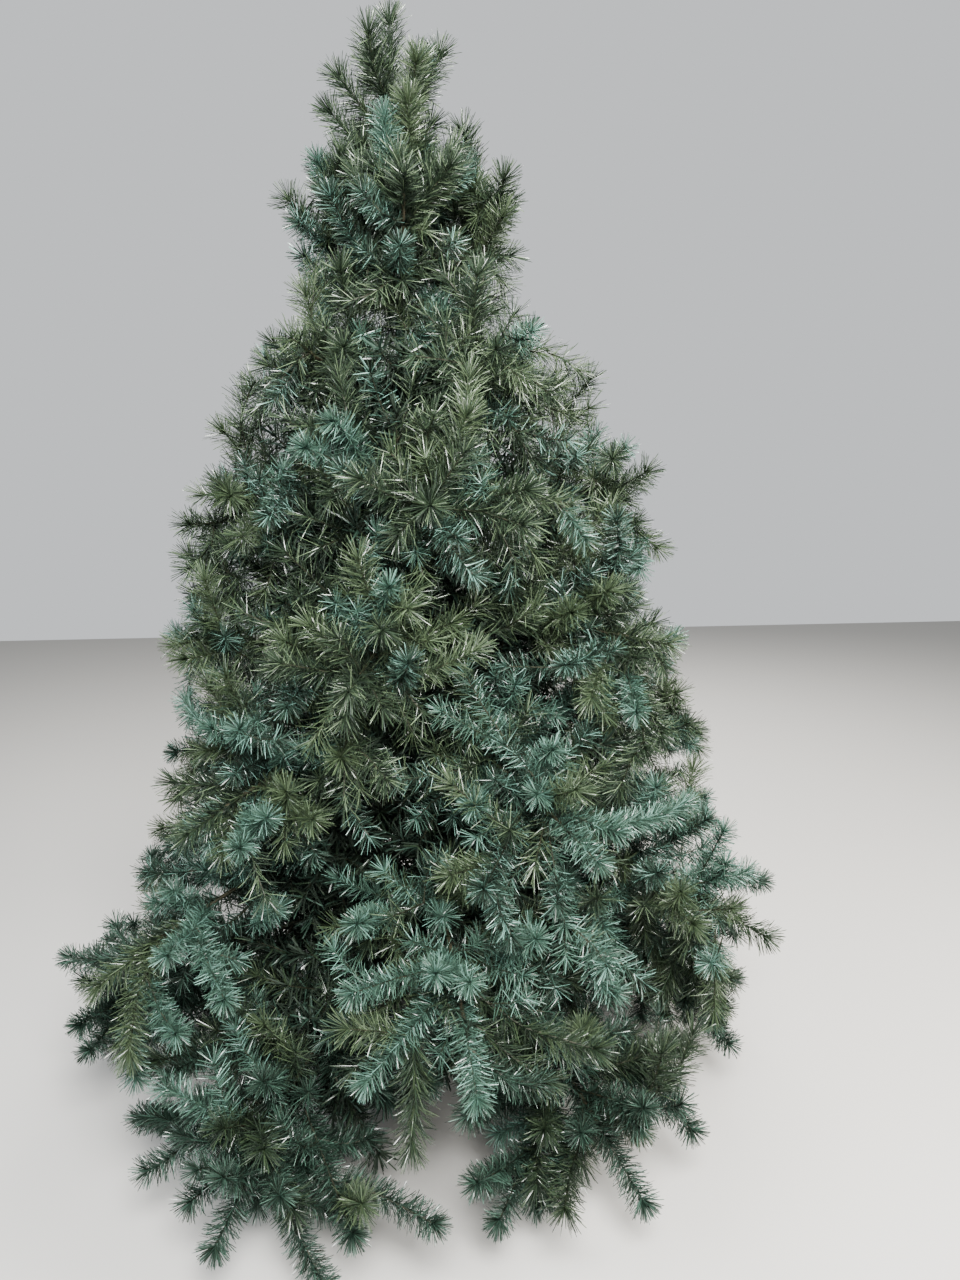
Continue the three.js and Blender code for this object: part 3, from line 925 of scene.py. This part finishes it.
def joined(parts):
    """Several pairs of points and triangles as one."""
    points, faces, count = [], [], 0
    for part_points, part_faces in parts:
        points.append(part_points)
        faces.append(part_faces + count)
        count += len(part_points)
    return np.concatenate(points), np.concatenate(faces)


def make_solid(name, parts, material, slot, nodes):
    """A piece from several skins, smooth but for its sharp edges."""
    piece = make_piece(name, *joined(parts), material, slot, nodes)
    piece.data.set_sharp_from_angle(angle=SHARP_ANGLE)
    print(name, len(piece.data.polygons), "triangles")


print("a skin over 3 rings of 4 points:", len(skin(np.zeros((3, 4, 3)))[1]), "triangles")

# %% [markdown]
# ## Finishes with a pattern
# The steel, the wrapped wire and the rubber each show a small unevenness. Two effects serve all
# of them, so each is a node group with its own sockets: one mixes two colours in soft patches,
# the other gives a fine height for a Bump node. A material places a group, gives it values of
# its own, and keeps its Principled surface to itself.

# %% Node groups
NOISE_MIDDLE = 0.5  # the contrast counts either way from here
PATCH_DETAIL = 3
GRAIN_DETAIL = 4


def new_group(name, inputs, outputs):
    """An empty node group with its sockets, and its two end nodes."""
    group = bpy.data.node_groups.new(name, "ShaderNodeTree")
    for label, kind, value in inputs:
        socket = group.interface.new_socket(label, in_out="INPUT", socket_type=kind)
        socket.default_value = value
    for label, kind in outputs:
        group.interface.new_socket(label, in_out="OUTPUT", socket_type=kind)
    return group, group.nodes.new("NodeGroupInput"), group.nodes.new("NodeGroupOutput")


def add_noise(group, entry, detail):
    """A noise on the piece's own coordinates, at the scale that the group is given."""
    place = group.nodes.new("ShaderNodeTexCoord")
    noise = group.nodes.new("ShaderNodeTexNoise")
    noise.inputs["Detail"].default_value = detail
    group.links.new(place.outputs["Object"], noise.inputs["Vector"])
    group.links.new(entry.outputs["Scale"], noise.inputs["Scale"])
    return noise.outputs["Fac"]


def patches_group():
    """Two colours in soft patches, and the mask that deals them out."""
    inputs = [
        ("Color", "NodeSocketColor", (0.5, 0.5, 0.5, 1)),
        ("Patch Color", "NodeSocketColor", (0.3, 0.3, 0.3, 1)),
        ("Scale", "NodeSocketFloat", 40.0),
        ("Contrast", "NodeSocketFloat", 0.2),
    ]
    outputs = [("Color", "NodeSocketColor"), ("Mask", "NodeSocketFloat")]
    group, entry, result = new_group("patches", inputs, outputs)
    nodes, links = group.nodes, group.links
    spread = nodes.new("ShaderNodeMapRange")
    mix = nodes.new("ShaderNodeMix")
    mix.data_type = "RGBA"
    for operation, limit in (("SUBTRACT", "From Min"), ("ADD", "From Max")):
        away = nodes.new("ShaderNodeMath")
        away.operation = operation
        away.inputs[0].default_value = NOISE_MIDDLE
        links.new(entry.outputs["Contrast"], away.inputs[1])
        links.new(away.outputs[0], spread.inputs[limit])
    links.new(add_noise(group, entry, PATCH_DETAIL), spread.inputs["Value"])
    links.new(spread.outputs["Result"], mix.inputs["Factor"])
    links.new(entry.outputs["Color"], mix.inputs["A"])
    links.new(entry.outputs["Patch Color"], mix.inputs["B"])
    links.new(mix.outputs["Result"], result.inputs["Color"])
    links.new(spread.outputs["Result"], result.inputs["Mask"])
    return group


def grain_group():
    """A fine height, for a Bump node."""
    inputs = [("Scale", "NodeSocketFloat", 400.0)]
    group, entry, result = new_group("grain", inputs, [("Height", "NodeSocketFloat")])
    group.links.new(add_noise(group, entry, GRAIN_DETAIL), result.inputs["Height"])
    return group


PATCHES = patches_group()
GRAIN = grain_group()
print("node groups:", [group.name for group in bpy.data.node_groups])

# %% [markdown]
# ## Paint, wrap, wire, rubber and plating
# These finishes are one idea with different numbers: two close colours, a gloss that changes
# with the patches, and a fine grain. Painted steel is smooth and half glossy, the wrap is rough
# film, rubber is dull, and only the plated screws and pins are bare metal. The bump is for the
# grain alone: every shape that can be seen is in the mesh.

# %% Patterned materials
BUMP_DISTANCE = 0.001
FINISHES = {
    # color, patch color, scale, roughness, grain scale, bump, metallic
    "green_paint": ((0.013, 0.040, 0.024), (0.020, 0.055, 0.034), 30, (0.35, 0.5), 900, 0.15, 0),
    "wire_wrap": ((0.022, 0.030, 0.014), (0.045, 0.036, 0.020), 90, (0.6, 0.8), 1500, 0.5, 0),
    "twig_wire": ((0.020, 0.028, 0.016), (0.038, 0.034, 0.020), 60, (0.5, 0.7), 1500, 0.2, 0),
    "black_rubber": ((0.012, 0.012, 0.012), (0.022, 0.021, 0.020), 50, (0.7, 0.9), 700, 0.4, 0),
    "plated_steel": ((0.60, 0.60, 0.58), (0.50, 0.50, 0.49), 80, (0.25, 0.4), 1200, 0.1, 1),
}


def add_group(nodes, group, values):
    """Places a group, with values of its own for some of its sockets."""
    node = nodes.new("ShaderNodeGroup")
    node.node_tree = group
    for label, value in values.items():
        node.inputs[label].default_value = value
    return node


def uneven(name, color, patch_color, scale, roughness, grain_scale, bump, metallic):
    """A material of two colours in patches, with fine grain and an uneven gloss."""
    material = bpy.data.materials.new(name)
    material.use_nodes = True
    nodes, links = material.node_tree.nodes, material.node_tree.links
    surface = nodes["Principled BSDF"]
    surface.inputs["Metallic"].default_value = metallic
    colors = {"Color": (*color, 1), "Patch Color": (*patch_color, 1)}
    patches = add_group(nodes, PATCHES, {**colors, "Scale": scale})
    grain = add_group(nodes, GRAIN, {"Scale": grain_scale})
    gloss = nodes.new("ShaderNodeMapRange")
    gloss.inputs["To Min"].default_value, gloss.inputs["To Max"].default_value = roughness
    relief = nodes.new("ShaderNodeBump")
    relief.inputs["Strength"].default_value = bump
    relief.inputs["Distance"].default_value = BUMP_DISTANCE
    links.new(patches.outputs["Color"], surface.inputs["Base Color"])
    links.new(patches.outputs["Mask"], gloss.inputs["Value"])
    links.new(gloss.outputs["Result"], surface.inputs["Roughness"])
    links.new(grain.outputs["Height"], relief.inputs["Height"])
    links.new(relief.outputs["Normal"], surface.inputs["Normal"])
    return material


PAINT, WRAP, WIRE, RUBBER, PLATED = [uneven(name, *row) for name, row in FINISHES.items()]
print("materials:", [m.name for m in bpy.data.materials])

# %% [markdown]
# ## The wires
# Two wires twisted together hold the needles of a tip. At this distance they are one thin dark
# line, which still matters: it shows between the needles of the sparse kind. Three rings of
# three points are enough for it.

# %% Wires of the tips
WIRE_RADII = (0.0017, 0.0011)
WIRE_STEPS = 3
WIRE_SIDES = 3

wires = []
for tip, _, end, _, _ in brushes:
    chain = point_on(tip["line"], np.linspace(0, end, WIRE_STEPS))
    wires.append(tube(chain, np.linspace(*WIRE_RADII, WIRE_STEPS), WIRE_SIDES))
make_solid("twig_wires", wires, WIRE, "needles", nodes_named("foliage"))

# %% [markdown]
# ## The boughs
# A bough is a thicker rod that is wrapped in a strip of film, whose edge shows as a spiral
# ridge. It runs from between the ears of its hinge into the start of its last tip. The ridge
# is only about a millimetre high, but it catches light where a bough shows through the
# needles, so it is in the mesh. The rods of the upper tiers are thinner, like their tips.

# %% Wrapped boughs
BOUGH_RADII = (0.0058, 0.0032)
BOUGH_THINNEST = 0.6  # of these radii for a tier of size 0, and the whole for size 1
BOUGH_SIDES = 8
BOUGH_STEP = 0.008
BOUGH_START = 0.012  # past the line's root, between the ears of the hinge
WRAP_PITCH = 0.024
WRAP_RIDGE = 0.09


def bough_rod(branch):
    """The wrapped rod of a branch, from its hinge to its last tip."""
    line = branch["line"]
    length = length_of(line)
    shares = np.linspace(BOUGH_START / length, STEM_END, round(STEM_END * length / BOUGH_STEP))
    radii = np.linspace(*BOUGH_RADII, len(shares)) * between((BOUGH_THINNEST, 1), branch["size"])
    side = beside(branch["bearing"], -1)
    return tube(point_on(line, shares), radii, BOUGH_SIDES, side, WRAP_RIDGE, WRAP_PITCH)


lower = [branch for branch in BRANCHES if branch["tier"] <= TIERS_WITH_BOUGHS]
upper = [branch for branch in BRANCHES if branch["tier"] > TIERS_WITH_BOUGHS]
make_solid("boughs_lower", [bough_rod(b) for b in lower], WRAP, "bough_wire", nodes_named("bough"))
upper_nodes = ZONE_NODES["middle"] + ZONE_NODES["high"]
make_solid("boughs_upper", [bough_rod(b) for b in upper], WRAP, "bough_wire", upper_nodes)

# %% [markdown]
# ## The pole
# The pole comes in three sections that plug into each other, each with a rolled rim where the
# next one enters. A thin rod in its top carries the leader. As all of it is round, one profile
# of radius and height is turned round the axis.

# %% Pole
POLE_FOOT = 0.0683
POLE_SECTIONS = [(0.700, 0.0160), (1.300, 0.0135), (1.700, 0.0100)]
POLE_TIP = 1.730
LEADER_RADIUS = 0.005
POLE_RIM = 0.0008
POLE_SIDES = 32


def pole_profile():
    """Radius and height up the pole, with a rolled rim near the top of each section."""
    profile = []
    bottom = POLE_FOOT
    for top, radius in POLE_SECTIONS:
        profile += [(radius - POLE_RIM, bottom), (radius, bottom + POLE_RIM)]
        profile += [(radius, top - 5 * POLE_RIM), (radius + POLE_RIM, top - 4 * POLE_RIM)]
        profile += [(radius + POLE_RIM, top - POLE_RIM), (radius, top)]
        bottom = top + POLE_RIM / 2
    rod_top = [(LEADER_RADIUS, POLE_TIP - POLE_RIM), (LEADER_RADIUS - POLE_RIM, POLE_TIP)]
    return profile + [(LEADER_RADIUS, bottom)] + rod_top


make_solid("pole", [turned(pole_profile(), POLE_SIDES)], PAINT, "pole", ["trunk"])

# %% [markdown]
# ## The hinges
# A collar is a sleeve with two thin flanges. Two ears of sheet steel stand beside the end of
# each bough, and a riveted pin goes through all three, so that the bough folds up for storage.

# %% Collars, ears and pins
COLLAR_PLAY = 0.0002  # between a collar and the pole
COLLAR_RADIUS = 0.024
SLEEVE_RADIUS = 0.0195
COLLAR_HALF = 0.013
FLANGE = 0.0025
FLANGE_EDGE = 0.0005
EAR_REACH = 0.0305
EAR_HALF = 0.0085
EAR_STEPS = 7  # round its nose
EAR_ROOT = SLEEVE_RADIUS - 0.001
EAR_THICKNESS = 0.0014
EAR_ASIDE = 0.0068
PIN_OUT = 0.0262
PIN_HALF = 0.0095
PIN_RADIUS = 0.0015
PIN_HEAD = 0.0028
PIN_EDGE = 0.7 * PIN_HEAD
PIN_SHARES = np.array((-1, -0.85, -0.84, 0.84, 0.85, 1))  # its heads take up the ends
PIN_SIDES = 10


def collar_ring(height, pole_radius):
    """A sleeve with a flange at each end, round the pole."""
    half = [
        (pole_radius + COLLAR_PLAY, COLLAR_HALF),
        (COLLAR_RADIUS - FLANGE_EDGE, COLLAR_HALF),
        (COLLAR_RADIUS, COLLAR_HALF - FLANGE_EDGE),
        (COLLAR_RADIUS, COLLAR_HALF - FLANGE + FLANGE_EDGE),
        (COLLAR_RADIUS - FLANGE_EDGE, COLLAR_HALF - FLANGE),
        (SLEEVE_RADIUS, COLLAR_HALF - FLANGE - FLANGE_EDGE),
    ]
    lower_half = [(radius, height - z) for radius, z in half]
    upper_half = [(radius, height + z) for radius, z in reversed(half)]
    return turned(lower_half + upper_half, POLE_SIDES, is_loop=True)


def ear(branch, height, way):
    """A rounded tab beside the end of a bough."""
    outward = polar(1, branch["bearing"], 0)
    side = beside(branch["bearing"])
    bend = np.linspace(-math.pi / 2, math.pi / 2, EAR_STEPS)
    nose = EAR_REACH - EAR_HALF
    outline = [(EAR_ROOT, EAR_HALF), (EAR_ROOT, -EAR_HALF)]
    outline += [(nose + EAR_HALF * math.cos(b), EAR_HALF * math.sin(b)) for b in bend]
    flat = np.array([outward * out + UP * up for out, up in outline])
    flat += side * EAR_ASIDE * way + UP * height
    thick = side * EAR_THICKNESS / 2
    return skin(np.stack((flat + thick, flat - thick)))


def pin(branch, height):
    """A riveted pin through both ears."""
    middle = polar(PIN_OUT, branch["bearing"], height)
    places = PIN_HALF * PIN_SHARES[:, None] * beside(branch["bearing"])
    radii = (PIN_EDGE, PIN_HEAD, PIN_RADIUS, PIN_RADIUS, PIN_HEAD, PIN_EDGE)
    return tube(middle + places, radii, PIN_SIDES)


def pole_radius_at(height):
    """The radius of the section that a collar sits on."""
    return next(radius for top, radius in POLE_SECTIONS if height < top)


collars, pins = [], []
for row, (height, *_) in enumerate(TIERS):
    collars.append(collar_ring(height, pole_radius_at(height)))
    for branch in BRANCHES:
        if branch["tier"] == row + 1:
            collars += [ear(branch, height, way) for way in (-1, 1)]
            pins.append(pin(branch, height))
make_solid("collars", collars, PAINT, "pole", ["trunk"])
make_solid("hinge_pins", pins, PLATED, "screw", ["trunk"])

# %% [markdown]
# ## The stand's cup
# The photograph doesn't show the foot, so this is the plain stand that such trees come with. A
# steel cup with a rolled rim takes the pole, and two thumb screws grip it from two sides. The
# thread is turned as a row of rings, which looks the same as a spiral at this size and closes
# without care for its ends. A knob is a disc whose radius rises and falls eight times.

# %% Cup and thumb screws
HUB_RADIUS = 0.021
HUB_BOTTOM = 0.062
HUB_TOP = 0.205
HUB_FLOOR = 0.006
BORE_RADIUS = 0.0175
LIP = 0.0012
CUP_SIDES = 40
SCREW_HEIGHT = 0.176
SCREW_RADIUS = 0.003
SCREW_REACH = 0.041
SCREW_SEAT = 0.0163
SCREW_SIDES = 16
THREAD = 0.0011
THREAD_ROOT = 0.84 * SCREW_RADIUS
KNOB_RADIUS = 0.011
KNOB_THICKNESS = 0.006
KNOB_BEVEL = KNOB_THICKNESS / 6
KNOB_SIDES = 48
KNOB_LOBES = 8
LOBE_DEPTH = 0.07

cup = [
    (HUB_RADIUS - LIP, HUB_BOTTOM),
    (HUB_RADIUS, HUB_BOTTOM + LIP),
    (HUB_RADIUS, HUB_TOP - 4 * LIP),
    (HUB_RADIUS + LIP, HUB_TOP - 3 * LIP),
    (HUB_RADIUS + LIP, HUB_TOP - LIP),
    (HUB_RADIUS, HUB_TOP),
    (BORE_RADIUS + LIP, HUB_TOP),
    (BORE_RADIUS, HUB_TOP - LIP),
    (BORE_RADIUS, HUB_BOTTOM + HUB_FLOOR),
]


def sideways(part, bearing, height):
    """Lays a turned form on its side, so that its axis points out on a bearing."""
    points, faces = part
    axes = np.array((UP, beside(bearing, -1), polar(1, bearing, 0)))
    return points @ axes + UP * height, faces


def thumb_screw(bearing):
    """A threaded screw with a lobed knob."""
    turns = round((SCREW_REACH - SCREW_SEAT) / THREAD)
    thread = []
    for k in range(turns):
        height = SCREW_SEAT + k * THREAD
        thread += [(THREAD_ROOT, height), (SCREW_RADIUS, height + THREAD / 2)]
    knob = [
        (KNOB_RADIUS - KNOB_BEVEL, SCREW_REACH),
        (KNOB_RADIUS, SCREW_REACH + KNOB_BEVEL),
        (KNOB_RADIUS, SCREW_REACH + KNOB_THICKNESS - KNOB_BEVEL),
        (KNOB_RADIUS - KNOB_BEVEL, SCREW_REACH + KNOB_THICKNESS),
    ]
    lobed = turned(knob, KNOB_SIDES, lobes=KNOB_LOBES, depth=LOBE_DEPTH)
    return [sideways(part, bearing, SCREW_HEIGHT) for part in (turned(thread, SCREW_SIDES), lobed)]


make_solid("stand_cup", [turned(cup, CUP_SIDES)], PAINT, "stand", ["stand_hub"])
for index in range(2):
    screw = thumb_screw(index * math.pi / 2)
    name = f"thumb_screw_{index + 1}"
    make_solid(f"wing_{name}", screw, PLATED, "screw", [name])

# %% [markdown]
# ## The legs and boots
# Four steel tubes are welded to the cup, bend outwards and end in rubber boots, by the same
# bend as the solids. A weld makes the joint believable: here it is a thin tube beside the leg
# whose radius changes from ring to ring, like a bead.

# %% Legs and feet
LEGS = 4
FIRST_LEG = 45
LEG_RADIUS = 0.008
LEG_OFFSET = 0.0285
LEG_TOP = 0.190
LEG_BEND = 0.104
BEND_SIZE = 0.024
BEND_DROP = BEND_SIZE / 3
DOWN_SHARES = np.linspace(0, 0.9, 4)  # of a leg's upright part, and next of its sloping part
OUT_SHARES = np.linspace(0.1, 1, 6)
LEG_REACH = 0.285
LEG_SIDES = 20
PLUG_HEIGHTS = np.array((0.5, 0.38, 0.0))  # these two are times the leg's radius
PLUG_RADII = (0.4, 0.8)
WELD_ASIDE = 0.55  # times the leg's radius
WELD_ROOM = 0.01
WELD_RADIUS = 0.0019
WELD_BEAD = 0.0005
WELD_STEPS = 15
WELD_SIDES = 8
FOOT_HEIGHT = 0.032
FOOT_RADIUS = 0.015
FOOT_TOP_RADIUS = 0.012
FOOT_EDGE = 0.0015
FOOT_SIDES = 32
BOOT_SLEEVE = 0.034
BOOT_WALL = 0.0022
SLEEVE_SHARES = np.array((0, 0.5, 0.94, 1.0))  # of its length, and next of its wall there
SLEEVE_WALLS = np.array((1, 1, 0.9, 0.3))
SLEEVE_SIDES = 24


def leg_chain(bearing):
    """The middle line of a leg: down beside the cup, round its bend and out to its foot."""
    top = polar(LEG_OFFSET, bearing, LEG_TOP)
    bend = np.array((
        polar(LEG_OFFSET, bearing, LEG_BEND + BEND_SIZE),
        polar(LEG_OFFSET, bearing, LEG_BEND),
        polar(LEG_OFFSET + BEND_SIZE, bearing, LEG_BEND - BEND_DROP),
    ))
    foot = polar(LEG_REACH, bearing, FOOT_HEIGHT / 2)
    down = top + (bend[0] - top) * DOWN_SHARES[:, None]
    out = bend[2] + (foot - bend[2]) * OUT_SHARES[:, None]
    return np.concatenate((down, point_on(bend, CHAIN_SHARES), out))


def leg_tube(bearing):
    """A tube with a domed plug in its upper end."""
    chain = leg_chain(bearing)
    plug = chain[0] + UP * LEG_RADIUS * PLUG_HEIGHTS[:, None]
    radii = LEG_RADIUS * np.array(PLUG_RADII + (1.0,) * len(chain))
    return tube(np.concatenate((plug, chain[1:])), radii, LEG_SIDES, beside(bearing, -1))


def weld(bearing, way):
    """A bead of weld along one side of a leg."""
    heights = np.linspace(LEG_BEND + BEND_SIZE + WELD_ROOM, LEG_TOP - WELD_ROOM, WELD_STEPS)
    middle = polar(HUB_RADIUS, bearing, 0) + beside(bearing) * LEG_RADIUS * WELD_ASIDE * way
    radii = WELD_RADIUS + WELD_BEAD * np.cos(np.arange(WELD_STEPS) * math.pi)
    return tube(middle + heights[:, None] * UP, radii, WELD_SIDES)


def boot(bearing):
    """A rubber boot: a round foot with a soft edge, and a sleeve for the end of the leg."""
    slope = (FOOT_RADIUS - FOOT_TOP_RADIUS) * FOOT_EDGE / FOOT_HEIGHT
    profile = [
        (FOOT_RADIUS - FOOT_EDGE, 0),
        (FOOT_RADIUS - slope, FOOT_EDGE),
        (FOOT_TOP_RADIUS + slope, FOOT_HEIGHT - FOOT_EDGE),
        (FOOT_TOP_RADIUS - FOOT_EDGE, FOOT_HEIGHT),
    ]
    points, faces = turned(profile, FOOT_SIDES)
    chain = leg_chain(bearing)
    inward = unit(chain[-2] - chain[-1])
    sleeve = chain[-1] + inward * BOOT_SLEEVE * SLEEVE_SHARES[:, None]
    radii = LEG_RADIUS + BOOT_WALL * SLEEVE_WALLS
    sleeve_tube = tube(sleeve, radii, SLEEVE_SIDES, beside(bearing))
    return [(points + polar(LEG_REACH, bearing, 0), faces), sleeve_tube]


for index in range(LEGS):
    bearing = math.radians(FIRST_LEG + index * 360 / LEGS)
    parts = [leg_tube(bearing), weld(bearing, -1), weld(bearing, 1)]
    make_solid(f"leg_{index + 1}", parts, PAINT, "stand", [f"stand_leg_{index + 1}"])
    make_solid(f"boot_{index + 1}", boot(bearing), RUBBER, "foot", [f"stand_foot_{index + 1}"])
